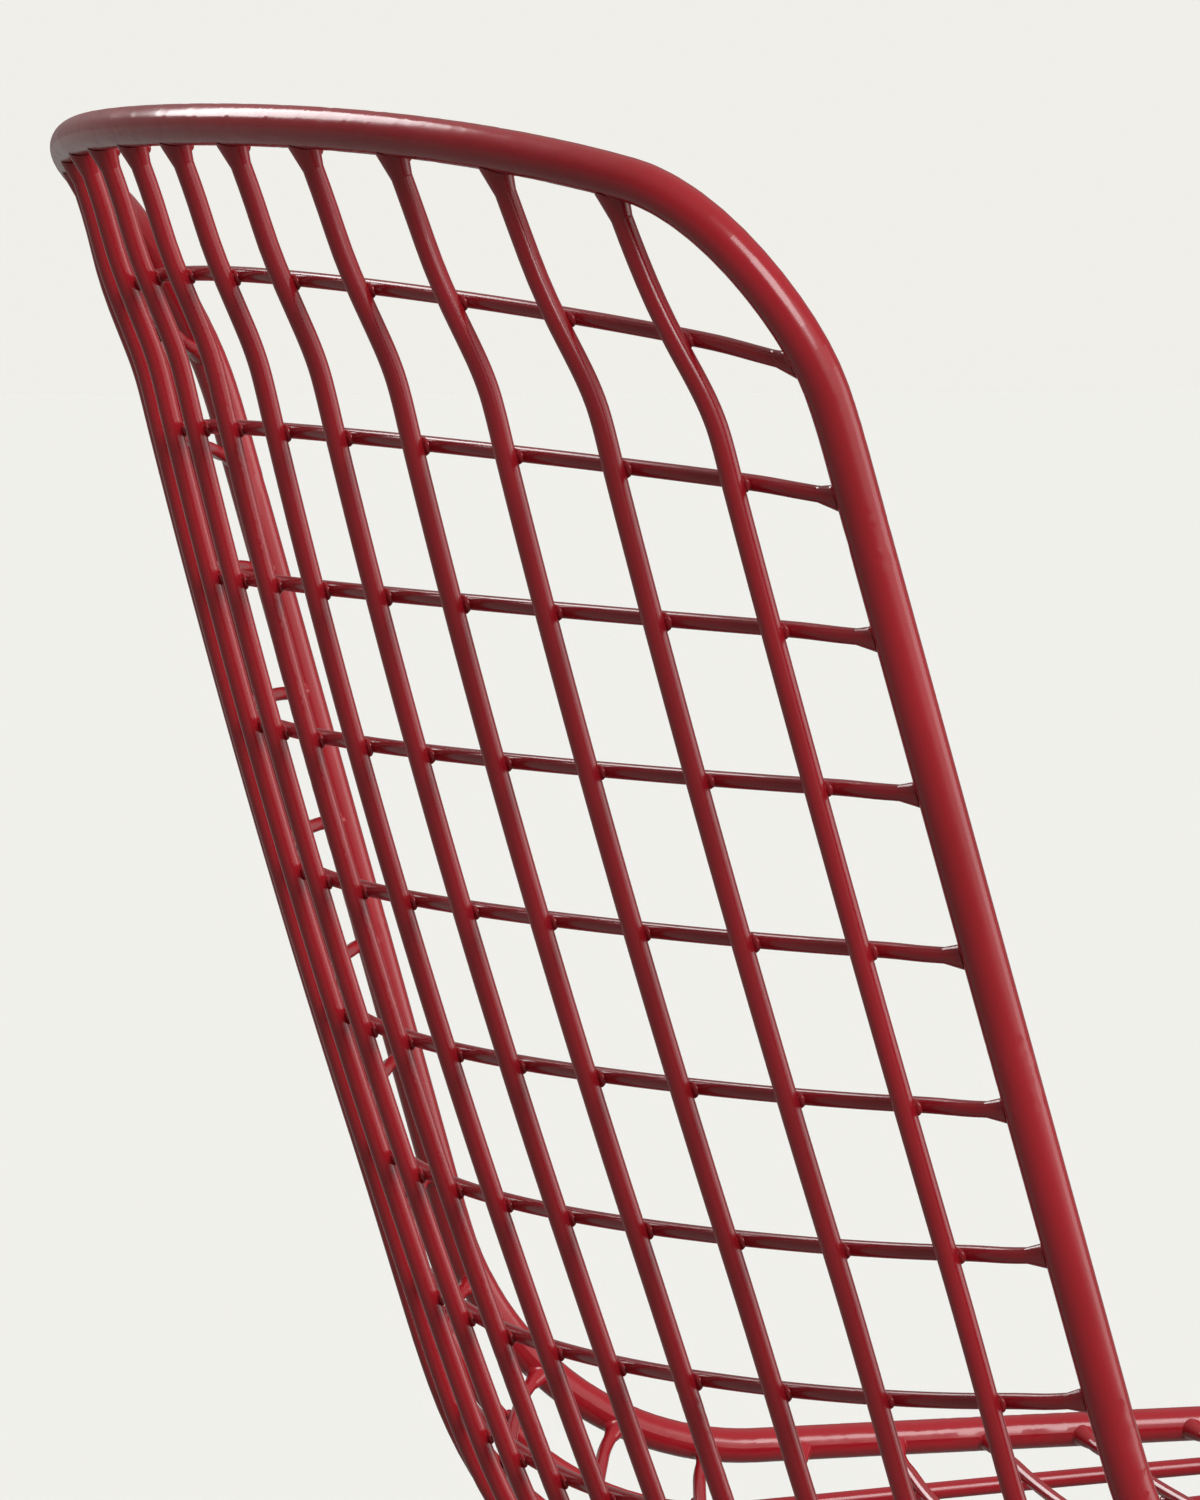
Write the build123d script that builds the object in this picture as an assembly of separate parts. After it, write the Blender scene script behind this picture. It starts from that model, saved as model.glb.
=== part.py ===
from build123d import *
import math
import os

# A dining chair with a welded wire shell on two bent-rod leg frames.
# Sizes are in millimetres and angles in degrees. X runs across the chair, +Y is its back and +Z is up.

# Wire stock
rim_diameter = 10.0
long_wire_diameter = 5.0
row_wire_diameter = 3.75
leg_rod_diameter = 12.0
stretcher_diameter = 10.0

# Gap left at every weld, so that no two pieces run into each other
weld_gap = 0.15

# Welds flare out where a wire meets the rim. Each starts a little way inside its wire.
long_weld_diameter = 7.2
long_weld_length = 4.5
row_weld_diameter = 6.0
row_weld_length = 4.0
weld_depth_share = 0.75
weld_overlap = 1.5
weld_lip = 0.2

# Mesh layout. Rows stand closer together under the sitter, from the bend on, than on the back and near the front.
long_wire_count = 13
back_row_count = 10
close_row_count = 5
front_row_count = 5
close_start_share = 0.5
close_end_share = 0.75

# Side of the shell, along the rim, from its upper corner to its front corner.
# A heading is the direction of travel: 0 is straight down, 90 is straight forward.
seat_rim_height = 443.6
side_flare_length = 38.0
side_flare_heading = 20.5
side_flare_bend_length = 12.0
side_back_heading = 16.25
side_back_length = 236.0
side_bend_radius = 97.0
side_seat_heading = 90.0
side_seat_length = 268.0

# Middle of the shell, from the top of the back to the front of the seat.
# It starts higher and further back than the sides, and its back and seat are longer.
top_rail_crown = 27.5
middle_top_setback = 79.0
middle_flare_length = 53.0
middle_flare_heading = 23.3
middle_flare_bend_length = 13.0
middle_back_top_heading = 13.5
middle_back_low_heading = 21.5
middle_back_extra_length = 62.0
middle_bend_radius = 95.0
middle_seat_heading = 95.5
middle_seat_extra_length = 55.3

# Half width between rim axes where the seat is widest, and how much less it is at the top and the front
seat_half_width = 240.5
top_narrowing = 4.5
front_narrowing = 6.0
widest_share = 0.62

# The long wires stand closer together towards the sides, and their tops lean in a little
crowding = 0.24
top_gather = 0.05
top_gather_share = 0.085

# The dish of the seat is flatter across its middle than the wrap of the back
seat_flatness = 0.6
flatness_start_share = 0.35
flatness_end_share = 0.65

# The top rail stays level across its middle, down to about the first row
crown_flatness = 0.65
crown_share = 0.06

# Upper rows meet the rim a little higher. Across the middle the rows spread out, and fan out round the bend.
upper_row_lift = 7.5
upper_row_share = 0.3
seat_row_spread = 16.0
seat_row_share = 0.45
bend_row_fan = 32.0
bend_fan_share = 0.72

# Rounded corners of the rim
top_corner_radius = 40.0
front_corner_radius = 70.0
corner_steps = 6

# Leg frames: each is one rod, with a bearer that follows the underside of the long wires
front_bearer_share = 0.925
rear_bearer_share = 0.575
bearer_outer_wire = 2
leg_bend_radius = 30.0
leg_bend_clearance = 4.0

# Feet, measured in from the widest, the foremost and the rearmost rim
foot_inset = 18.5
front_foot_setback = 20.0
rear_foot_setback = 89.0

# Stretchers between the leg frames, each beside this long wire counted from the side
stretcher_wire = 4
stretcher_overhang = 14.0
stretcher_settling_rounds = 6

# Foot glides
glide_diameter = 20.0
glide_floor = 6.0
glide_cup_depth = 16.0

# Step used to measure slopes on the shell, and the bulge below which an arc is drawn as a line
slope_step = 1.0e-4
straight_bulge = 0.002

rim_radius = rim_diameter / 2
long_radius = long_wire_diameter / 2
row_radius = row_wire_diameter / 2
leg_radius = leg_rod_diameter / 2
stretcher_radius = stretcher_diameter / 2
mesh_offset = (long_radius + row_radius + weld_gap) / 2
top_half_width = seat_half_width - top_narrowing
front_half_width = seat_half_width - front_narrowing
middle_back_length = side_back_length + middle_back_extra_length
middle_seat_length = side_seat_length + middle_seat_extra_length

middle_run = (
    (middle_flare_length, middle_flare_heading, middle_flare_heading),
    (middle_flare_bend_length, middle_flare_heading, middle_back_top_heading),
    (middle_back_length, middle_back_top_heading, middle_back_low_heading),
    (
        middle_bend_radius * math.radians(middle_seat_heading - middle_back_low_heading),
        middle_back_low_heading,
        middle_seat_heading,
    ),
    (middle_seat_length, middle_seat_heading, middle_seat_heading),
)
side_run = (
    (side_flare_length, side_flare_heading, side_flare_heading),
    (side_flare_bend_length, side_flare_heading, side_back_heading),
    (side_back_length, side_back_heading, side_back_heading),
    (
        side_bend_radius * math.radians(side_seat_heading - side_back_heading),
        side_back_heading,
        side_seat_heading,
    ),
    (side_seat_length, side_seat_heading, side_seat_heading),
)
middle_length = sum(length for length, first, last in middle_run)
side_length = sum(length for length, first, last in side_run)


def travel(run, distance):
    """Forward and downward travel after a distance along a run of lines and arcs."""
    forward = 0.0
    down = 0.0
    left = distance
    last_piece = run[-1]
    for piece in run:
        length, first, last = piece
        step = left if piece is last_piece else min(left, length)
        turn = math.radians(last - first) * step / length
        start = math.radians(first)
        if abs(turn) < slope_step * slope_step:
            forward += step * math.sin(start)
            down += step * math.cos(start)
        else:
            radius = step / turn
            forward += radius * (math.cos(start) - math.cos(start + turn))
            down += radius * (math.sin(start + turn) - math.sin(start))
        left -= step
        if left <= 0.0 and piece is not last_piece:
            break
    return forward, down


side_top_height = seat_rim_height + travel(side_run, side_length)[1]
middle_top_height = side_top_height + top_rail_crown


def smooth(value):
    """Eases from 0 to 1."""
    share = min(max(value, 0.0), 1.0)
    return share * share * (3 - 2 * share)


def half_width(share):
    if share < widest_share:
        return top_half_width + (seat_half_width - top_half_width) * smooth(share / widest_share)
    rest = (share - widest_share) / (1 - widest_share)
    return seat_half_width + (front_half_width - seat_half_width) * smooth(rest)


def shell(side, share):
    """Point on the shell: side runs -1 to 1 across it, share 0 to 1 from its top to its front."""
    spread = seat_row_spread * (smooth((share - seat_row_share) / (1 - seat_row_share)) - share)
    fan = bend_row_fan * smooth((share - seat_row_share) / (bend_fan_share - seat_row_share))
    fan *= smooth((1 - share) / (1 - bend_fan_share))
    lift = upper_row_lift * math.sin(math.pi * min(max(share / upper_row_share, 0.0), 1.0)) ** 2
    middle_forward, middle_down = travel(middle_run, share * middle_length + spread + fan)
    side_forward, side_down = travel(side_run, share * side_length - lift)
    flat = seat_flatness * smooth((share - flatness_start_share) / (flatness_end_share - flatness_start_share))
    square = side * side
    blend = square * (1 - flat) + square * square * flat
    rise = blend + crown_flatness * (square * square - square) * (1 - smooth(share / crown_share))
    forward = (middle_forward - middle_top_setback) * (1 - blend) + side_forward * blend
    height = (middle_top_height - middle_down) * (1 - rise) + (side_top_height - side_down) * rise
    across = half_width(share) * side * (1 + crowding * square * (1 - square))
    return Vector(across, rear_edge - forward, height)


def outward(side, share):
    """Unit vector square to the shell, away from the sitter."""
    along_side = shell(side + slope_step, share) - shell(side - slope_step, share)
    along_share = shell(side, share + slope_step) - shell(side, share - slope_step)
    return along_side.cross(along_share).normalized()


# The chair is centred between the back of its top rail and the front of its seat rail.
rear_edge = 0.0
rear_limit = shell(0.0, 0.0).Y + rim_radius
front_limit = shell(0.0, 1.0).Y - rim_radius
rear_edge = -(rear_limit + front_limit) / 2
front_foot_place = shell(0.0, 1.0).Y - rim_radius + front_foot_setback
rear_foot_place = shell(0.0, 0.0).Y + rim_radius - rear_foot_setback

wire_sides = [2 * number / (long_wire_count + 1) - 1 for number in range(1, long_wire_count + 1)]
back_step = close_start_share / back_row_count
close_step = (close_end_share - close_start_share) / (close_row_count + 1)
front_step = (1 - close_end_share) / front_row_count
row_shares = [back_step * number for number in range(1, back_row_count + 1)]
row_shares += [close_start_share + close_step * number for number in range(1, close_row_count + 1)]
row_shares += [close_end_share + front_step * number for number in range(front_row_count)]

# The long wires and the rim also pass through both ends of the bend under the flare.
flare_shares = [
    middle_flare_length / middle_length,
    (middle_flare_length + middle_flare_bend_length) / middle_length,
]
bend_shares = sorted(row_shares + flare_shares)


def slope(curve, place):
    return (curve(place + slope_step) - curve(place - slope_step)).normalized()


def arc_edge(start, end, direction):
    """Arc from start to end that leaves along direction, or a line where it would be straight."""
    chord = end - start
    unit = chord.normalized()
    lean = direction - unit * direction.dot(unit)
    bulge = chord.length / 2 * math.tan(math.asin(min(lean.length, 1.0)) / 2)
    if bulge < straight_bulge:
        return Line(start, end)
    return ThreePointArc(start, (start + end) * 0.5 + lean.normalized() * bulge, end)


def arc_pair(start, start_slope, end, end_slope):
    """Two arcs that join start to end and meet smoothly, with the given slopes at both ends."""
    gap = end - start
    both = start_slope + end_slope
    spread = 2 * (1 - start_slope.dot(end_slope))
    reach = gap.dot(both)
    if spread < slope_step * slope_step:
        handle = gap.dot(gap) / (2 * reach)
    else:
        handle = (math.sqrt(reach * reach + spread * gap.dot(gap)) - reach) / spread
    first_corner = start + start_slope * handle
    second_corner = end - end_slope * handle
    middle = (first_corner + second_corner) * 0.5
    joint_slope = (second_corner - first_corner).normalized()
    return [arc_edge(start, middle, start_slope), arc_edge(middle, end, joint_slope)]


def smooth_edges(points, slopes):
    edges = []
    for index in range(len(points) - 1):
        edges += arc_pair(points[index], slopes[index], points[index + 1], slopes[index + 1])
    return edges


def rod(edges, radius):
    """Round rod along joined edges."""
    path = Wire(edges)
    start = Plane(origin=path @ 0, z_dir=path % 0)
    return sweep(sections=start * Circle(radius), path=path)


def side_corner(radius, share_at_edge):
    """How far a rim corner reaches along side and share."""
    across = shell(1.0, share_at_edge) - shell(0.0, share_at_edge)
    return radius / across.length, radius / side_length


top_corner_side, top_corner_share = side_corner(top_corner_radius, 0.0)
front_corner_side, front_corner_share = side_corner(front_corner_radius, 1.0)


def rim_share_at_top(side):
    """Share at which the rim crosses a given side near the top of the back."""
    past = max(abs(side) - (1 - top_corner_side), 0.0) / top_corner_side
    return top_corner_share * (1 - math.sqrt(1 - past * past))


def rim_share_at_front(side):
    past = max(abs(side) - (1 - front_corner_side), 0.0) / front_corner_side
    return 1 - front_corner_share * (1 - math.sqrt(1 - past * past))


def rim_side_at(share):
    """Side at which the rim crosses a given share of the shell."""
    past_top = max(top_corner_share - share, 0.0) / top_corner_share
    past_front = max(share - (1 - front_corner_share), 0.0) / front_corner_share
    top_inset = top_corner_side * (1 - math.sqrt(1 - past_top * past_top))
    front_inset = front_corner_side * (1 - math.sqrt(1 - past_front * past_front))
    return 1 - top_inset - front_inset


def rim_stations():
    """Places and directions of travel on the shell along the rim, from its seam round the left side."""
    top_sides = [side for side in wire_sides if abs(side) < 1 - top_corner_side]
    front_sides = [side for side in wire_sides if abs(side) < 1 - front_corner_side]
    left = []
    for step in range(corner_steps + 1):
        angle = math.radians(90.0) * (1 - step / corner_steps)
        side = 1 - front_corner_side * (1 - math.cos(angle))
        share = 1 - front_corner_share * (1 - math.sin(angle))
        left.append((side, share, front_corner_side * math.sin(angle), -front_corner_share * math.cos(angle)))
    for share in reversed(bend_shares):
        if top_corner_share < share < 1 - front_corner_share:
            left.append((1.0, share, 0.0, -1.0))
    for step in range(corner_steps + 1):
        angle = math.radians(90.0) * step / corner_steps
        side = 1 - top_corner_side * (1 - math.cos(angle))
        share = top_corner_share * (1 - math.sin(angle))
        left.append((side, share, -top_corner_side * math.sin(angle), -top_corner_share * math.cos(angle)))
    right = [(-side, share, side_rate, -share_rate) for side, share, side_rate, share_rate in reversed(left)]
    seam = (wire_sides[long_wire_count // 2 - 1] + wire_sides[long_wire_count // 2]) / 2
    seam_pace = (front_rail(seam + slope_step) - front_rail(seam - slope_step)).length / (2 * slope_step)
    stations = [(seam, 1.0, 1.0, 0.0)]
    stations += [(side, 1.0, 1.0, 0.0) for side in front_sides if side > seam]
    stations += left
    stations += [(side, 0.0, -1.0, 0.0) for side in reversed(top_sides)]
    stations += right
    stations += [(side, 1.0, 1.0, 0.0) for side in front_sides if side < seam]
    stations.append((seam - weld_gap / seam_pace, 1.0, 1.0, 0.0))
    return stations


def travel_slope(side, share, side_rate, share_rate):
    scale = slope_step / max(abs(side_rate), abs(share_rate))
    ahead = shell(side + side_rate * scale, share + share_rate * scale)
    behind = shell(side - side_rate * scale, share - share_rate * scale)
    return (ahead - behind).normalized()


def make_rim():
    """One rod bent round the shell. Its ends meet in a butt weld on the front rail."""
    stations = rim_stations()
    points = [shell(side, share) for side, share, side_rate, share_rate in stations]
    slopes = [travel_slope(*station) for station in stations]
    return rod(smooth_edges(points, slopes), rim_radius)


def rim_seat(rim_curve, place):
    """Room for the rim at one weld."""
    pace = (rim_curve(place + slope_step) - rim_curve(place - slope_step)).length / (2 * slope_step)
    span = rim_diameter / pace
    before = rim_curve(place - span)
    middle = rim_curve(place)
    after = rim_curve(place + span)
    bulge = (middle - (before + after) * 0.5).length
    edge = Line(before, after) if bulge < weld_gap / 10 else ThreePointArc(before, middle, after)
    return rod([edge], rim_radius + weld_gap)


def weld_flare(end, rim_curve, place, wire_radius, flare_radius):
    """Flared weld from a wire's end to the rim, cut back so that it sits round the rim."""
    direction = (rim_curve(place) - end).normalized()
    base = end - direction * weld_overlap
    base_radius = wire_radius - weld_lip
    flare_length = (rim_curve(place) - base).length - rim_radius
    height = flare_length + rim_radius * weld_depth_share
    tip_radius = base_radius + (flare_radius - base_radius) * height / flare_length
    flare = Solid.make_cone(base_radius, tip_radius, height, Plane(origin=base, z_dir=direction))
    return flare - rim_seat(rim_curve, place)


def top_rail(side):
    return shell(side, rim_share_at_top(side))


def front_rail(side):
    return shell(side, rim_share_at_front(side))


def left_rail(share):
    return shell(rim_side_at(share), share)


def right_rail(share):
    return shell(-rim_side_at(share), share)


def make_long_wire(side):
    """Wire from the top of the rim to its front, on the outside of the shell."""
    top_side = side * (1 - top_gather)
    top_share = rim_share_at_top(top_side)
    front_share = rim_share_at_front(side)
    first_row = row_shares[0]
    last_row = row_shares[-1]

    def axis(share):
        settled = smooth((share - top_share) / (top_gather_share - top_share))
        place = top_side + (side - top_side) * settled
        ease = smooth((share - top_share) / (first_row - top_share))
        ease *= smooth((front_share - share) / (front_share - last_row))
        return shell(place, share) + outward(place, share) * (mesh_offset * ease)

    reach = rim_radius + long_weld_length
    top_target = top_rail(top_side)
    front_target = front_rail(side)
    pace_at_top = (axis(top_share + slope_step) - top_target).length / slope_step
    pace_at_front = (axis(front_share - slope_step) - front_target).length / slope_step
    places = [top_share + reach / pace_at_top] + bend_shares + [front_share - reach / pace_at_front]
    points = [axis(place) for place in places]
    slopes = [slope(axis, place) for place in places]
    slopes[0] = (points[0] - top_target).normalized()
    slopes[-1] = (front_target - points[-1]).normalized()
    wire = rod(smooth_edges(points, slopes), long_radius)
    wire += weld_flare(points[0], top_rail, top_side, long_radius, long_weld_diameter / 2)
    wire += weld_flare(points[-1], front_rail, side, long_radius, long_weld_diameter / 2)
    return wire


def make_row(share):
    """Cross wire from one side of the rim to the other, on the sitter's side of the shell."""
    rim_side = rim_side_at(share)
    crossed = [side for side in wire_sides if rim_share_at_top(side) < share < rim_share_at_front(side)]
    outer_wire = crossed[-1]

    def axis(side):
        ease = smooth((rim_side - abs(side)) / (rim_side - outer_wire))
        return shell(side, share) - outward(side, share) * (mesh_offset * ease)

    reach = rim_radius + row_weld_length
    left_target = left_rail(share)
    right_target = right_rail(share)
    pace = (left_target - axis(rim_side - slope_step)).length / slope_step
    end_side = rim_side - reach / pace
    inner = [side for side in crossed if abs(side) < end_side]
    places = [-end_side] + inner + [end_side]
    points = [axis(place) for place in places]
    slopes = [slope(axis, place) for place in places]
    slopes[0] = (points[0] - right_target).normalized()
    slopes[-1] = (left_target - points[-1]).normalized()
    row = rod(smooth_edges(points, slopes), row_radius)
    row += weld_flare(points[0], right_rail, share, row_radius, row_weld_diameter / 2)
    row += weld_flare(points[-1], left_rail, share, row_radius, row_weld_diameter / 2)
    return row


def bearer_axis(side, share):
    """Axis of a leg frame's bearer, under the long wires."""
    depth = mesh_offset + long_radius + weld_gap + leg_radius
    return shell(side, share) + outward(side, share) * depth


def leg_points(share, foot_place):
    """Corner of a leg frame and the foot of its leg, on the +X side."""
    outer_side = wire_sides[-bearer_outer_wire]
    end = bearer_axis(outer_side, share)
    direction = slope(lambda place: bearer_axis(place, share), outer_side)
    foot = Vector(seat_half_width - foot_inset, foot_place, glide_floor)
    corner = end + direction * (leg_bend_radius + leg_bend_clearance)
    for attempt in range(stretcher_settling_rounds):
        turn = direction.get_angle((foot - corner).normalized())
        setback = leg_bend_radius * math.tan(math.radians(turn) / 2)
        corner = end + direction * (setback + leg_bend_clearance)
    return end, direction, corner, setback, foot


def mirrored(vector):
    """The same vector on the other side of the chair."""
    return Vector(-vector.X, vector.Y, vector.Z)


def make_leg_frame(share, foot_place):
    """One bent rod: up a leg, across under the seat and down the other leg."""
    end, direction, corner, setback, foot = leg_points(share, foot_place)
    leg_slope = (foot - corner).normalized()
    bend_start = corner - direction * setback
    bend_end = corner + leg_slope * setback
    carried = [side for side in wire_sides if abs(side) <= wire_sides[-bearer_outer_wire] + slope_step]
    points = [bearer_axis(side, share) for side in carried]
    slopes = [slope(lambda place: bearer_axis(place, share), side) for side in carried]
    edges = [
        Line(mirrored(foot), mirrored(bend_end)),
        arc_edge(mirrored(bend_end), mirrored(bend_start), mirrored(leg_slope) * -1),
        Line(mirrored(bend_start), points[0]),
    ]
    edges += smooth_edges(points, slopes)
    edges.append(Line(end, bend_start))
    edges.append(arc_edge(bend_start, bend_end, direction))
    edges.append(Line(bend_end, foot))
    return rod(edges, leg_radius)


def make_glide(share, foot_place):
    """Cup round the end of a leg, with a flat base on the floor, on the +X side."""
    end, direction, corner, setback, foot = leg_points(share, foot_place)
    leg_slope = (foot - corner).normalized()
    cup_top = foot - leg_slope * glide_cup_depth
    cup = Solid.make_cylinder(glide_diameter / 2, 2 * (glide_cup_depth + glide_floor), Plane(origin=cup_top, z_dir=leg_slope))
    socket_length = glide_cup_depth + weld_gap
    socket = Solid.make_cylinder(leg_radius + weld_gap, socket_length, Plane(origin=cup_top, z_dir=leg_slope))
    room = 4 * (glide_cup_depth + glide_floor + glide_diameter)
    floor_place = Location((foot.X, foot.Y, -room / 2))
    below_floor = floor_place * Box(room, room, room)
    return cup - socket - below_floor


def make_stretcher():
    """Straight rod under both bearers, on the +X side."""
    side = wire_sides[-stretcher_wire]
    depth = leg_radius + weld_gap + stretcher_radius
    anchors = []
    for share in (rear_bearer_share, front_bearer_share):
        anchors.append((bearer_axis(side, share), slope(lambda place: bearer_axis(place, share), side)))
    ends = [point for point, direction in anchors]
    for attempt in range(stretcher_settling_rounds):
        run = (ends[1] - ends[0]).normalized()
        ends = []
        for point, direction in anchors:
            away = run.cross(direction).normalized()
            if away.Z > 0.0:
                away = away * -1
            ends.append(point + away * depth)
    run = (ends[1] - ends[0]).normalized()
    start = ends[0] - run * stretcher_overhang
    length = (ends[1] - ends[0]).length + 2 * stretcher_overhang
    return Solid.make_cylinder(stretcher_radius, length, Plane(origin=start, z_dir=run))


os.makedirs("parts", exist_ok=True)


def save(shape, name):
    export_step(shape, "parts/" + name + ".step")


save(make_rim(), "shell_rim")

for number, side in enumerate(wire_sides, start=1):
    save(make_long_wire(side), "long_wire_" + str(number))

for number, share in enumerate(row_shares, start=1):
    if number <= back_row_count:
        save(make_row(share), "back_row_" + str(number))
    else:
        save(make_row(share), "seat_row_" + str(number - back_row_count))

for name, share, foot_place in (
    ("front", front_bearer_share, front_foot_place),
    ("rear", rear_bearer_share, rear_foot_place),
):
    save(make_leg_frame(share, foot_place), name + "_leg_frame")
    glide = make_glide(share, foot_place)
    save(glide, name + "_left_glide")
    save(mirror(glide, about=Plane.YZ), name + "_right_glide")

stretcher = make_stretcher()
save(stretcher, "left_stretcher")
save(mirror(stretcher, about=Plane.YZ), "right_stretcher")
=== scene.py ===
import math
import random
from functools import partial

import bmesh
import bpy
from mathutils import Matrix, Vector


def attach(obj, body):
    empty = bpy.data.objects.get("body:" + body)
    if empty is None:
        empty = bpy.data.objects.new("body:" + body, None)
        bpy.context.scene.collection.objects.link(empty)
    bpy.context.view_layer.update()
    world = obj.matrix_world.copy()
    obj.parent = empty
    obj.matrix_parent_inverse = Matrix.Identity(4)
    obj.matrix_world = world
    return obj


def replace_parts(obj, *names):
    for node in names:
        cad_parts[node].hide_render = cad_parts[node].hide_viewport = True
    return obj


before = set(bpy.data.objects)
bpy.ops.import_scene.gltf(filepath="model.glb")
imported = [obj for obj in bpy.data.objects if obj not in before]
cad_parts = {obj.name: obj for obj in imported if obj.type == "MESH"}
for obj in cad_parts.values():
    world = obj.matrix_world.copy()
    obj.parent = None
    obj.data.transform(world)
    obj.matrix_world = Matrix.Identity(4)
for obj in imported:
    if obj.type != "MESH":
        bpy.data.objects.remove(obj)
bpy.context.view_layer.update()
mm = 0.001
tiny = 1e-4  # step for slopes on the shell
straight = 1e-9  # a turn below this is a straight run
print("frame loaded:", len(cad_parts), "nodes")


# form of the shell, in millimetres and degrees, as the solids have it
# each run goes from the top to the front: length, and lean at its start and end
shellForm = {
    "seatRim": 443.6, "crownRise": 27.5, "middleSetback": 79.0,
    "middleRun": [
        (53.0, 23.3, 23.3), (13.0, 23.3, 13.5), (298.0, 13.5, 21.5),
        (95.0 * math.radians(74.0), 21.5, 95.5), (323.3, 95.5, 95.5),
    ],
    "sideRun": [
        (38.0, 20.5, 20.5), (12.0, 20.5, 16.25), (236.0, 16.25, 16.25),
        (97.0 * math.radians(73.75), 16.25, 90.0), (268.0, 90.0, 90.0),
    ],
    "topHalf": 236.0, "seatHalf": 240.5, "frontHalf": 234.5, "widestShare": 0.62,
    "crowding": 0.24, "gather": 0.05, "gatherShare": 0.085,
    "flatness": 0.6, "flatFrom": 0.35, "flatTo": 0.65, "crown": 0.65, "crownShare": 0.06,
    "rowLift": 7.5, "liftShare": 0.3, "rowSpread": 16.0, "spreadFrom": 0.45,
    "bendFan": 32.0, "fanShare": 0.72,
    "topCorner": 40.0, "frontCorner": 70.0,
    "longWires": 13, "backRows": 10, "closeRows": 5, "frontRows": 5,
    "closeFrom": 0.5, "closeTo": 0.75,
    "rimRadius": 5.0, "longRadius": 2.5, "rowRadius": 1.875, "weldGap": 0.15,
}
rearEdge = 0.0  # set below, once the shell's depth is known


def ease(value):
    share = min(max(value, 0.0), 1.0)
    return share * share * (3 - 2 * share)


# how far forward and down a run has come
def travel(run, distance):
    forward = down = 0.0
    left = distance
    for index, (length, first, last) in enumerate(run):
        final = index == len(run) - 1
        step = left if final else min(left, length)
        start = math.radians(first)
        turn = math.radians(last - first) * step / length
        if abs(turn) < straight:
            forward += step * math.sin(start)
            down += step * math.cos(start)
        else:
            radius = step / turn
            forward += radius * (math.cos(start) - math.cos(start + turn))
            down += radius * (math.sin(start + turn) - math.sin(start))
        left -= step
        if left <= 0 and not final:
            break
    return forward, down


middleLength = sum(piece[0] for piece in shellForm["middleRun"])
sideLength = sum(piece[0] for piece in shellForm["sideRun"])
sideTop = shellForm["seatRim"] + travel(shellForm["sideRun"], sideLength)[1]
middleTop = sideTop + shellForm["crownRise"]


def halfWidth(share):
    form = shellForm
    widest = form["widestShare"]
    if share < widest:
        return form["topHalf"] + (form["seatHalf"] - form["topHalf"]) * ease(share / widest)
    rest = (share - widest) / (1 - widest)
    return form["seatHalf"] + (form["frontHalf"] - form["seatHalf"]) * ease(rest)


# side runs -1 to 1 across the shell, share 0 to 1 from its top to its front
def shellPoint(side, share):
    form = shellForm
    bendFrom = form["spreadFrom"]
    spread = form["rowSpread"] * (ease((share - bendFrom) / (1 - bendFrom)) - share)
    fan = form["bendFan"] * ease((share - bendFrom) / (form["fanShare"] - bendFrom))
    fan *= ease((1 - share) / (1 - form["fanShare"]))
    lifted = min(max(share / form["liftShare"], 0.0), 1.0)
    lift = form["rowLift"] * math.sin(math.pi * lifted) ** 2
    middleForward, middleDown = travel(form["middleRun"], share * middleLength + spread + fan)
    sideForward, sideDown = travel(form["sideRun"], share * sideLength - lift)
    flat = form["flatness"] * ease((share - form["flatFrom"]) / (form["flatTo"] - form["flatFrom"]))
    square = side * side
    blend = square * (1 - flat) + square * square * flat
    crowned = 1 - ease(share / form["crownShare"])
    rise = blend + form["crown"] * (square * square - square) * crowned
    forward = (middleForward - form["middleSetback"]) * (1 - blend) + sideForward * blend
    height = (middleTop - middleDown) * (1 - rise) + (sideTop - sideDown) * rise
    across = halfWidth(share) * side * (1 + form["crowding"] * square * (1 - square))
    return Vector((across, rearEdge - forward, height))


rearEdge = -(shellPoint(0, 0).y + shellPoint(0, 1).y) / 2  # box centred front to back


def alongSide(side, share):
    return (shellPoint(side + tiny, share) - shellPoint(side - tiny, share)).normalized()


def alongShare(side, share):
    return (shellPoint(side, share + tiny) - shellPoint(side, share - tiny)).normalized()


def outward(side, share):
    return alongSide(side, share).cross(alongShare(side, share)).normalized()


# where the long wires stand across the shell, and the rows along it
def wireLayout(form):
    return [2 * n / (form["longWires"] + 1) - 1 for n in range(1, form["longWires"] + 1)]


def rowLayout(form):
    closeStep = (form["closeTo"] - form["closeFrom"]) / (form["closeRows"] + 1)
    frontStep = (1 - form["closeTo"]) / form["frontRows"]
    shares = [form["closeFrom"] * n / form["backRows"] for n in range(1, form["backRows"] + 1)]
    shares += [form["closeFrom"] + closeStep * n for n in range(1, form["closeRows"] + 1)]
    return shares + [form["closeTo"] + frontStep * n for n in range(form["frontRows"])]


wireSides = wireLayout(shellForm)
rowShares = rowLayout(shellForm)
meshOffset = (shellForm["longRadius"] + shellForm["rowRadius"] + shellForm["weldGap"]) / 2


# rounded corners of the rim
def cornerReach(radius, share):
    return radius / (shellPoint(1, share) - shellPoint(0, share)).length, radius / sideLength


topCornerSide, topCornerShare = cornerReach(shellForm["topCorner"], 0)
frontCornerSide, frontCornerShare = cornerReach(shellForm["frontCorner"], 1)


def inset(past):
    return 1 - math.sqrt(1 - past * past)


def rimShareAtTop(side):
    return topCornerShare * inset(max(abs(side) - 1 + topCornerSide, 0.0) / topCornerSide)


def rimShareAtFront(side):
    return 1 - frontCornerShare * inset(max(abs(side) - 1 + frontCornerSide, 0.0) / frontCornerSide)


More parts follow.
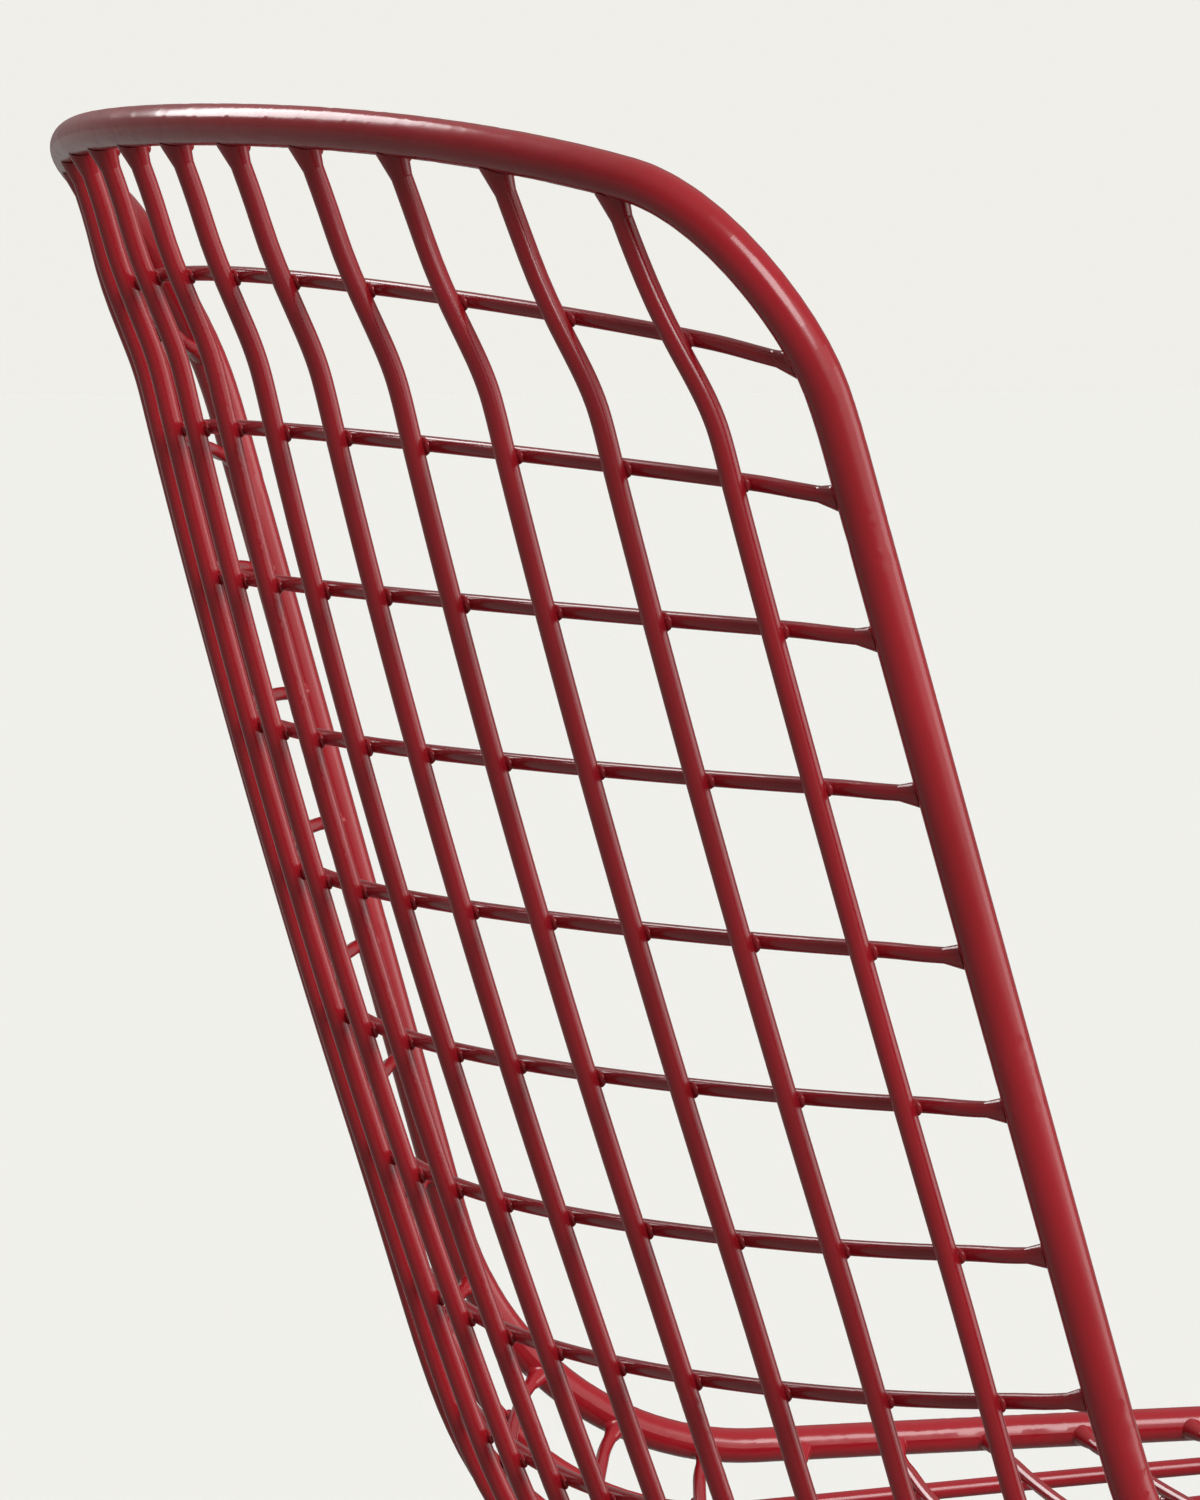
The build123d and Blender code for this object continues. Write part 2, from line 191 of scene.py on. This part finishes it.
def rimSideAt(share):
    top = topCornerSide * inset(max(topCornerShare - share, 0.0) / topCornerShare)
    front = frontCornerSide * inset(max(share - 1 + frontCornerShare, 0.0) / frontCornerShare)
    return 1 - top - front


def topRail(side):
    return shellPoint(side, rimShareAtTop(side))


def frontRail(side):
    return shellPoint(side, rimShareAtFront(side))


def leftRail(share):
    return shellPoint(rimSideAt(share), share)


def rightRail(share):
    return shellPoint(-rimSideAt(share), share)


# the tops of the long wires lean in a little
def wirePlace(side, share):
    topSide = side * (1 - shellForm["gather"])
    topShare = rimShareAtTop(topSide)
    settled = ease((share - topShare) / (shellForm["gatherShare"] - topShare))
    return topSide + (side - topSide) * settled


def wireAxis(side, share):
    topShare = rimShareAtTop(side * (1 - shellForm["gather"]))
    frontShare = rimShareAtFront(side)
    raised = ease((share - topShare) / (rowShares[0] - topShare))
    raised *= ease((frontShare - share) / (frontShare - rowShares[-1]))
    place = wirePlace(side, share)
    return shellPoint(place, share) + outward(place, share) * meshOffset * raised


def rowAxis(share, side):
    rimSide = rimSideAt(share)
    raised = ease((rimSide - abs(side)) / (rimSide - wireSides[-1]))
    return shellPoint(side, share) - outward(side, share) * meshOffset * raised


# powder coat of the shell and the legs
paintLook = {
    "deep": (0.285, 0.0070, 0.0125), "light": (0.345, 0.0100, 0.0180),
    "patchScale": 16.0, "patchDetail": 4.0,
    "speckScale": 1500.0, "speckDetail": 1.0, "speckShare": 0.10,
    "roughLow": 0.18, "roughHigh": 0.25, "roughScale": 70.0,
    "peelScale": 520.0, "peelDetail": 2.0, "peelDepth": 0.00009, "peelStrength": 0.04,
    "coat": 0.16, "coatRoughness": 0.10, "specular": 0.42,
}


def newMaterial(name):
    material = bpy.data.materials.new(name)
    material.use_nodes = True
    nodes = material.node_tree.nodes
    links = material.node_tree.links
    return material, nodes, links, nodes["Principled BSDF"]


def noiseNode(nodes, links, coords, scale, detail=3.0, rough=0.5):
    noise = nodes.new("ShaderNodeTexNoise")
    noise.inputs["Scale"].default_value = scale
    noise.inputs["Detail"].default_value = detail
    noise.inputs["Roughness"].default_value = rough
    links.new(coords.outputs["Object"], noise.inputs["Vector"])
    return noise.outputs["Fac"]


def rangeNode(nodes, links, source, low, high, fromLow=0.3, fromHigh=0.7):
    ranged = nodes.new("ShaderNodeMapRange")
    ranged.inputs["From Min"].default_value = fromLow
    ranged.inputs["From Max"].default_value = fromHigh
    ranged.inputs["To Min"].default_value = low
    ranged.inputs["To Max"].default_value = high
    links.new(source, ranged.inputs["Value"])
    return ranged.outputs["Result"]


def bumpNode(nodes, links, height, distance, strength):
    bump = nodes.new("ShaderNodeBump")
    bump.inputs["Distance"].default_value = distance
    bump.inputs["Strength"].default_value = strength
    links.new(height, bump.inputs["Height"])
    return bump.outputs["Normal"]


def rampNode(nodes, links, source, low, high, start=0.35, end=0.65):
    ramp = nodes.new("ShaderNodeValToRGB")
    ramp.color_ramp.elements[0].position = start
    ramp.color_ramp.elements[1].position = end
    ramp.color_ramp.elements[0].color = (*low, 1)
    ramp.color_ramp.elements[1].color = (*high, 1)
    links.new(source, ramp.inputs["Fac"])
    return ramp.outputs["Color"]


# broad tone drift, fine powder specks, orange peel and a thin clear coat
def wineRedPaint(name, look):
    material, nodes, links, shader = newMaterial(name)
    coords = nodes.new("ShaderNodeTexCoord")
    drift = noiseNode(nodes, links, coords, look["patchScale"], look["patchDetail"])
    specks = noiseNode(nodes, links, coords, look["speckScale"], look["speckDetail"])
    tone = nodes.new("ShaderNodeMix")
    tone.inputs["Factor"].default_value = look["speckShare"]
    links.new(drift, tone.inputs["A"])
    links.new(specks, tone.inputs["B"])
    colour = rampNode(nodes, links, tone.outputs["Result"], look["deep"], look["light"])
    links.new(colour, shader.inputs["Base Color"])
    smear = noiseNode(nodes, links, coords, look["roughScale"])
    rough = rangeNode(nodes, links, smear, look["roughLow"], look["roughHigh"])
    links.new(rough, shader.inputs["Roughness"])
    peel = noiseNode(nodes, links, coords, look["peelScale"], look["peelDetail"])
    relief = bumpNode(nodes, links, peel, look["peelDepth"], look["peelStrength"])
    links.new(relief, shader.inputs["Normal"])
    shader.inputs["Specular IOR Level"].default_value = look["specular"]
    shader.inputs["Coat Weight"].default_value = look["coat"]
    shader.inputs["Coat Roughness"].default_value = look["coatRoughness"]
    return material


paint = wineRedPaint("wineRedPaint", paintLook)
for name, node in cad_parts.items():
    if not name.endswith("glide"):
        node.data.materials.clear()
        node.data.materials.append(paint)
print("paint set")


# meshes are built in millimetres and ride on the chair
def newPiece(name, build, material):
    mesh = bpy.data.meshes.new(name)
    work = bmesh.new()
    build(work)
    bmesh.ops.recalc_face_normals(work, faces=work.faces)
    for face in work.faces:
        face.smooth = True
    work.to_mesh(mesh)
    work.free()
    piece = bpy.data.objects.new(name, mesh)
    bpy.context.scene.collection.objects.link(piece)
    mesh.materials.append(material)
    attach(piece, "root")
    return piece


def addRings(work, rings):
    bands = [[work.verts.new(point * mm) for point in ring] for ring in rings]
    count = len(bands[0])
    for lower, upper in zip(bands, bands[1:]):
        for k in range(count):
            work.faces.new((lower[k], lower[(k + 1) % count], upper[(k + 1) % count], upper[k]))
    for band in (bands[0], bands[-1]):
        middle = work.verts.new(sum((v.co for v in band), Vector()) / count)
        for k in range(count):
            work.faces.new((band[k], band[(k + 1) % count], middle))


# spot welds where rows cross long wires, and where wires and stretchers lie on the bearers
# each size is half of the weld's width, length and thickness
spotLook = {
    "crossing": (3.05, 2.25, 1.05), "bearer": (3.0, 3.6, 1.7), "stretcher": (4.4, 4.4, 2.2),
    "rings": 8, "around": 16, "vary": 0.10, "seed": 7,
}
legForm = {
    "bearers": {"front": 0.925, "rear": 0.575}, "outerWire": 2, "rodRadius": 6.0,
    "bend": 30.0, "bendClear": 4.0, "bendRounds": 6,
    "footInset": 18.5, "setback": {"front": 20.0, "rear": 89.0}, "stretcherWire": 4,
}
mirror = Vector((-1, 1, 1))  # to the other side of the chair


def addSpot(work, centre, a, b, n, sizes, dice):
    count = spotLook["rings"]
    around = spotLook["around"]
    grow = [size * (1 + dice.uniform(-spotLook["vary"], spotLook["vary"])) for size in sizes]
    rings = []
    for ring in range(1, count):
        lat = math.pi * (ring / count - 0.5)
        rings.append([
            centre + n * grow[2] * math.sin(lat)
            + a * grow[0] * math.cos(lat) * math.cos(2 * math.pi * k / around)
            + b * grow[1] * math.cos(lat) * math.sin(2 * math.pi * k / around)
            for k in range(around)
        ])
    addRings(work, rings)


def bearerAxis(side, share):
    depth = meshOffset + shellForm["longRadius"] + shellForm["weldGap"] + legForm["rodRadius"]
    return shellPoint(side, share) + outward(side, share) * depth


def bearerSlope(side, share):
    return (bearerAxis(side + tiny, share) - bearerAxis(side - tiny, share)).normalized()


def stretcherSpots():
    side = wireSides[-legForm["stretcherWire"]]
    bearers = legForm["bearers"].values()
    anchors = [(bearerAxis(side, share), bearerSlope(side, share)) for share in bearers]
    run = (anchors[1][0] - anchors[0][0]).normalized()
    for point, slope in anchors:
        away = run.cross(slope).normalized()
        if away.z > 0:
            away = -away
        yield point + away * legForm["rodRadius"], slope, run, away


def buildSpotWelds(work):
    dice = random.Random(spotLook["seed"])
    sink = (shellForm["longRadius"] - shellForm["rowRadius"]) / 2
    for side in wireSides:
        for share in rowShares:
            place = wirePlace(side, share)
            n = outward(place, share)
            a = alongSide(place, share)
            centre = shellPoint(place, share) - n * sink
            addSpot(work, centre, a, n.cross(a), n, spotLook["crossing"], dice)
    for share in legForm["bearers"].values():
        for side in wireSides[legForm["outerWire"] - 1:1 - legForm["outerWire"]]:
            n = outward(side, share)
            a = alongSide(side, share)
            centre = shellPoint(side, share) + n * (meshOffset + shellForm["longRadius"])
            addSpot(work, centre, a, n.cross(a), n, spotLook["bearer"], dice)
    for centre, slope, run, away in stretcherSpots():
        sizes = spotLook["stretcher"]
        addSpot(work, centre, slope, run, away, sizes, dice)
        addSpot(work, centre * mirror, slope * mirror, run * mirror, away * mirror, sizes, dice)


newPiece("spot_welds", buildSpotWelds, paint)
print("spot welds made")


# trumpet welds where wires and rows run into the rim: how far up the wire, along the rim and round it
# reach is the length of the solid's own flare under the weld
collarLook = {
    "row": {"up": 4.4, "along": 4.0, "round": 3.4, "reach": 4.0},
    "top": {"up": 4.6, "along": 3.7, "round": 3.9, "reach": 4.5},
    "front": {"up": 4.6, "along": 3.7, "round": 3.9, "reach": 4.5},
    "skin": 0.03, "tuck": 0.3,  # how far over the wire, and its first ring into the wire
    "sink": 0.15, "inner": 0.8,  # its edge into the rim, and the closing ring's share of that edge
    "steps": 8, "around": 24, "vary": 0.07, "seed": 21,
}
beadLook = {"sizes": (2.1, 1.7, 1.3), "down": 1.2, "out": 0.2}  # run-out bead beside each wire top
seamLook = {  # butt weld of the rim
    "side": -1 / 14, "half": 4.0, "proud": 0.16, "sunk": 0.1, "steep": 1.6,
    "ripple": 0.03, "ripples": 5, "twist": 9, "steps": 12, "around": 28,
}


def addCollar(work, seat, rimSlope, wireSlope, wireRadius, shape, dice):
    rim = shellForm["rimRadius"]
    across = wireSlope.cross(rimSlope).normalized()
    along = across.cross(wireSlope).normalized()
    square = rimSlope.cross(across).normalized()  # straight out of the rim
    if square.dot(wireSlope) < 0:
        square = -square
    lean = square.dot(wireSlope)
    grow = [1 + dice.uniform(-collarLook["vary"], collarLook["vary"]) for axis in range(3)]
    up = shape["up"] * grow[0]
    spokes = []
    wireFoot = []
    rimEdge = []
    for k in range(collarLook["around"]):
        turn = 2 * math.pi * k / collarLook["around"]
        spoke = along * math.cos(turn) + across * math.sin(turn)
        beside = wireRadius * math.sin(turn)
        onWire = seat + spoke * (wireRadius + collarLook["skin"])
        rise = math.sqrt(rim * rim - beside * beside) - square.dot(onWire - seat)
        wireFoot.append(onWire + wireSlope * (rise / lean))
        a = rim * wireSlope.dot(rimSlope) / lean + shape["along"] * grow[1] * math.cos(turn)
        b = shape["round"] * grow[2] * math.sin(turn)
        height = math.sqrt(rim * rim - b * b) - collarLook["sink"]
        rimEdge.append(seat + rimSlope * a + across * b + square * height)
        spokes.append(spoke)
    tuck = collarLook["tuck"]
    rings = [[foot + wireSlope * up - spoke * tuck for foot, spoke in zip(wireFoot, spokes)]]
    for step in range(collarLook["steps"] + 1):
        fall = math.pi / 2 * step / collarLook["steps"]
        opened = 1 - math.cos(fall)  # quarter round, hollow outwards
        climb = wireSlope * (up * (1 - math.sin(fall)))
        rings.append([foot.lerp(edge, opened) + climb for foot, edge in zip(wireFoot, rimEdge)])
    rings.append([seat + (point - seat) * collarLook["inner"] for point in rings[-1]])
    addRings(work, rings)


def railSlope(rail, place):
    return (rail(place + tiny) - rail(place - tiny)).normalized()


# the end of a wire at the rim: its seat, the way of the rim there and the way of the wire
def wireEnd(axis, rail, place, start, step, weldLength):
    seat = rail(place)
    pace = (axis(start + step * tiny) - seat).length / tiny
    end = axis(start + step * (shellForm["rimRadius"] + weldLength) / pace)
    return seat, railSlope(rail, place), (end - seat).normalized()


def buildRimWelds(work):
    dice = random.Random(collarLook["seed"])
    wireRadius = shellForm["longRadius"]
    top, front, row = (collarLook[kind] for kind in ("top", "front", "row"))
    for side in wireSides:
        axis = partial(wireAxis, side)
        topSide = side * (1 - shellForm["gather"])
        topShare = rimShareAtTop(topSide)
        seat, rimSlope, wireSlope = wireEnd(axis, topRail, topSide, topShare, 1, top["reach"])
        addCollar(work, seat, rimSlope, wireSlope, wireRadius, top, dice)
        inside = wireSlope.cross(rimSlope).normalized()
        if inside.y > 0:
            inside = -inside
        bead = seat + wireSlope * (shellForm["rimRadius"] + beadLook["down"])
        bead += inside * (wireRadius + beadLook["out"])
        addSpot(work, bead, rimSlope, wireSlope, inside, beadLook["sizes"], dice)
        frontShare = rimShareAtFront(side)
        seat, rimSlope, wireSlope = wireEnd(axis, frontRail, side, frontShare, -1, front["reach"])
        addCollar(work, seat, rimSlope, wireSlope, wireRadius, front, dice)
    for share in rowShares:
        axis = partial(rowAxis, share)
        for rail, sign in ((leftRail, 1), (rightRail, -1)):
            start = sign * rimSideAt(share)
            seat, rimSlope, wireSlope = wireEnd(axis, rail, share, start, -sign, row["reach"])
            addCollar(work, seat, rimSlope, wireSlope, shellForm["rowRadius"], row, dice)


def buildRimSeam(work):
    look = seamLook
    centre = frontRail(look["side"])
    slope = railSlope(frontRail, look["side"])
    up = outward(look["side"], 1)
    beside = slope.cross(up).normalized()
    turns = [2 * math.pi * k / look["around"] for k in range(look["around"])]
    rings = []
    for step in range(look["steps"] + 1):
        place = -1 + 2 * step / look["steps"]
        raised = ease(look["steep"] * (1 - abs(place)))
        swell = shellForm["rimRadius"] - look["sunk"] + (look["proud"] + look["sunk"]) * raised
        middle = centre + slope * look["half"] * place
        ring = []
        for turn in turns:
            radius = swell + look["ripple"] * math.sin(look["ripples"] * turn + look["twist"] * place)
            ring.append(middle + (up * math.cos(turn) + beside * math.sin(turn)) * radius)
        rings.append(ring)
    addRings(work, rings)


newPiece("rim_welds", buildRimWelds, paint)
newPiece("rim_seam", buildRimSeam, paint)
print("rim welds made")


# foot glides: moulded cups with a rolled lip, a groove and a rounded tread
glideLook = {
    "dark": (0.016, 0.015, 0.016), "light": (0.034, 0.032, 0.033),
    "grainScale": 1400.0, "grainDetail": 3.0, "grainRough": 0.6,
    "grainDepth": 0.00008, "grainStrength": 0.35, "roughLow": 0.5, "roughHigh": 0.66,
}
glideForm = {
    "cup": [  # radius, and how far up the leg from its end
        (5.6, 13.0), (6.2, 15.5), (6.6, 15.9), (8.9, 16.0), (9.6, 15.8), (9.93, 15.3), (10.0, 14.6),
        (10.0, 12.4), (9.85, 12.2), (9.55, 12.1), (9.5, 11.6), (9.55, 11.1), (9.85, 11.0), (10.0, 10.8),
    ],
    "tread": [  # radius, and height over the floor
        (10.0, 3.4), (10.0, 1.5), (9.9, 0.8), (9.6, 0.3), (9.1, 0.04), (8.4, 0.0), (4.0, 0.0),
    ],
    "legEnd": 6.0, "around": 40,  # the leg ends this far over the floor
}


def mattePlastic(name, look):
    material, nodes, links, shader = newMaterial(name)
    coords = nodes.new("ShaderNodeTexCoord")
    grain = noiseNode(nodes, links, coords, look["grainScale"], look["grainDetail"], look["grainRough"])
    colour = rampNode(nodes, links, grain, look["dark"], look["light"])
    links.new(colour, shader.inputs["Base Color"])
    rough = rangeNode(nodes, links, grain, look["roughLow"], look["roughHigh"])
    links.new(rough, shader.inputs["Roughness"])
    relief = bumpNode(nodes, links, grain, look["grainDepth"], look["grainStrength"])
    links.new(relief, shader.inputs["Normal"])
    return material


plastic = mattePlastic("glidePlastic", glideLook)


# where a left leg ends, and the way down it
def legLine(end):
    share = legForm["bearers"][end]
    outer = wireSides[-legForm["outerWire"]]
    start = bearerAxis(outer, share)
    slope = bearerSlope(outer, share)
    if end == "front":
        depth = shellPoint(0, 1).y - shellForm["rimRadius"] + legForm["setback"][end]
    else:
        depth = shellPoint(0, 0).y + shellForm["rimRadius"] - legForm["setback"][end]
    foot = Vector((shellForm["seatHalf"] - legForm["footInset"], depth, glideForm["legEnd"]))
    reach = legForm["bend"]
    for settle in range(legForm["bendRounds"]):
        corner = start + slope * (reach + legForm["bendClear"])
        reach = legForm["bend"] * math.tan(slope.angle(foot - corner) / 2)
    return foot, (foot - corner).normalized()


def makeGlide(end, hand):
    foot, down = legLine(end)
    if hand == "right":
        foot.x, down.x = -foot.x, -down.x
    u = Vector((0, 1, 0)).cross(down).normalized()
    v = down.cross(u)
    turns = [2 * math.pi * k / glideForm["around"] for k in range(glideForm["around"])]
    spokes = [u * math.cos(turn) + v * math.sin(turn) for turn in turns]

    def build(work):
        rings = []
        for radius, up in glideForm["cup"]:
            rings.append([foot - down * up + spoke * radius for spoke in spokes])
        for radius, height in glideForm["tread"]:
            ring = [foot + spoke * radius for spoke in spokes]
            rings.append([point + down * ((height - point.z) / down.z) for point in ring])
        addRings(work, rings)

    node = end + "_" + hand + "_glide"
    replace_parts(newPiece(node + "_cup", build, plastic), node)


for end in ("front", "rear"):
    for hand in ("left", "right"):
        makeGlide(end, hand)
print("glides made")


# plain floor and backdrop, and soft boxes in the world
floorLook = {
    "colour": (0.849, 0.850, 0.821), "bounce": (0.22, 0.22, 0.21),  # as seen, and as it lights the chair
    "roughness": 0.9, "specular": 0.0, "half": 60.0,
}
studio = {
    "backdrop": (0.871, 0.863, 0.823), "tint": (1.0, 0.985, 0.965),
    "ambient": 0.15, "glossShare": 0.12,
    "boxes": [  # from and to are cosines off the box's middle: where its glow starts and is full
        {"toward": (0.0, 0.0, 1.0), "from": 0.3, "to": 0.95, "strength": 0.32},  # overhead
        {"toward": (-0.80, -0.58, 0.10), "from": 0.70, "to": 0.97, "strength": 1.35},  # right of camera
        {"toward": (-0.21, -0.97, 0.13), "from": 0.94, "to": 0.99, "strength": 2.5},  # narrow, far right
    ],
}


def mathNode(nodes, links, operation, first, second):
    node = nodes.new("ShaderNodeMath")
    node.operation = operation
    for socket, value in zip(node.inputs, (first, second)):
        if isinstance(value, float):
            socket.default_value = value
        else:
            links.new(value, socket)
    return node.outputs["Value"]


# the eye sees the plain backdrop and floor, and gloss shows some of them
def seenDirectly(nodes, links):
    rays = nodes.new("ShaderNodeLightPath")
    seen = mathNode(nodes, links, "MULTIPLY", rays.outputs["Is Glossy Ray"], studio["glossShare"])
    seen = mathNode(nodes, links, "MAXIMUM", seen, rays.outputs["Is Camera Ray"])
    return mathNode(nodes, links, "MAXIMUM", seen, rays.outputs["Is Transmission Ray"])


def makeFloor():
    half = floorLook["half"]
    corners = [(-half, -half, 0), (half, -half, 0), (half, half, 0), (-half, half, 0)]
    mesh = bpy.data.meshes.new("studioFloor")
    mesh.from_pydata(corners, [], [(0, 1, 2, 3)])
    floor = bpy.data.objects.new("studioFloor", mesh)
    bpy.context.scene.collection.objects.link(floor)
    material, nodes, links, shader = newMaterial("studioFloor")
    shader.inputs["Base Color"].default_value = (*floorLook["bounce"], 1)
    shader.inputs["Roughness"].default_value = floorLook["roughness"]
    shader.inputs["Specular IOR Level"].default_value = floorLook["specular"]
    pale = nodes.new("ShaderNodeBsdfDiffuse")
    pale.inputs["Color"].default_value = (*floorLook["colour"], 1)
    mix = nodes.new("ShaderNodeMixShader")
    links.new(seenDirectly(nodes, links), mix.inputs["Fac"])
    links.new(shader.outputs["BSDF"], mix.inputs[1])
    links.new(pale.outputs["BSDF"], mix.inputs[2])
    links.new(mix.outputs["Shader"], nodes["Material Output"].inputs["Surface"])
    mesh.materials.append(material)


def softBox(nodes, links, coords, spec):
    facing = nodes.new("ShaderNodeVectorMath")
    facing.operation = "DOT_PRODUCT"
    facing.inputs[1].default_value = Vector(spec["toward"]).normalized()
    links.new(coords.outputs["Generated"], facing.inputs[0])
    glow = nodes.new("ShaderNodeMapRange")
    glow.interpolation_type = "SMOOTHSTEP"
    glow.inputs["From Min"].default_value = spec["from"]
    glow.inputs["From Max"].default_value = spec["to"]
    glow.inputs["To Max"].default_value = spec["strength"]
    links.new(facing.outputs["Value"], glow.inputs["Value"])
    return glow.outputs["Result"]


def makeWorld():
    world = bpy.data.worlds.new("studioWorld")
    bpy.context.scene.world = world
    world.use_nodes = True
    nodes = world.node_tree.nodes
    links = world.node_tree.links
    coords = nodes.new("ShaderNodeTexCoord")
    level = studio["ambient"]
    for spec in studio["boxes"]:
        level = mathNode(nodes, links, "ADD", softBox(nodes, links, coords, spec), level)
    light = nodes["Background"]
    light.inputs["Color"].default_value = (*studio["tint"], 1)
    links.new(level, light.inputs["Strength"])
    plain = nodes.new("ShaderNodeBackground")
    plain.inputs["Color"].default_value = (*studio["backdrop"], 1)
    mix = nodes.new("ShaderNodeMixShader")
    links.new(seenDirectly(nodes, links), mix.inputs["Fac"])
    links.new(light.outputs["Background"], mix.inputs[1])
    links.new(plain.outputs["Background"], mix.inputs[2])
    links.new(mix.outputs["Shader"], nodes["World Output"].inputs["Surface"])


makeFloor()
makeWorld()

# broad lamps: a key on the camera's side and a weaker one on the far side
lamps = {
    "key": {"toward": (-0.81, -0.17, 0.56), "away": 3.0, "strength": 2.2, "spread": 34.0},
    "strip": {"toward": (0.78, 0.31, 0.54), "away": 3.0, "strength": 1.15, "spread": 28.0},
}


def makeLamp(name, spec):
    light = bpy.data.lights.new(name, "SUN")
    light.energy = spec["strength"]
    light.angle = math.radians(spec["spread"])
    lamp = bpy.data.objects.new(name, light)
    bpy.context.scene.collection.objects.link(lamp)
    lamp.location = Vector(spec["toward"]).normalized() * spec["away"]
    lamp.rotation_mode = "QUATERNION"
    lamp.rotation_quaternion = Vector(spec["toward"]).to_track_quat("Z", "Y")


for name, spec in lamps.items():
    makeLamp(name, spec)

cameraSpec = {
    "at": (-1.792555, 0.776374, 0.771605), "yaw": -19.418, "pitch": -3.364,
    "focalPixels": 7601.57, "framePixels": 1500.0, "sensor": 36.0, "clip": (0.05, 300.0),
}


def makeCamera(spec):
    data = bpy.data.cameras.new("photoCamera")
    camera = bpy.data.objects.new("photoCamera", data)
    bpy.context.scene.collection.objects.link(camera)
    yaw = math.radians(spec["yaw"])
    pitch = math.radians(spec["pitch"])
    ahead = Vector((math.cos(yaw) * math.cos(pitch), math.sin(yaw) * math.cos(pitch), math.sin(pitch)))
    camera.location = spec["at"]
    camera.rotation_mode = "QUATERNION"
    camera.rotation_quaternion = ahead.to_track_quat("-Z", "Y")
    data.sensor_width = spec["sensor"]
    data.lens = spec["focalPixels"] * data.sensor_width / spec["framePixels"]
    data.clip_start, data.clip_end = spec["clip"]
    bpy.context.scene.camera = camera


makeCamera(cameraSpec)
bpy.context.scene.view_settings.view_transform = "Standard"
print("floor, light and camera set")
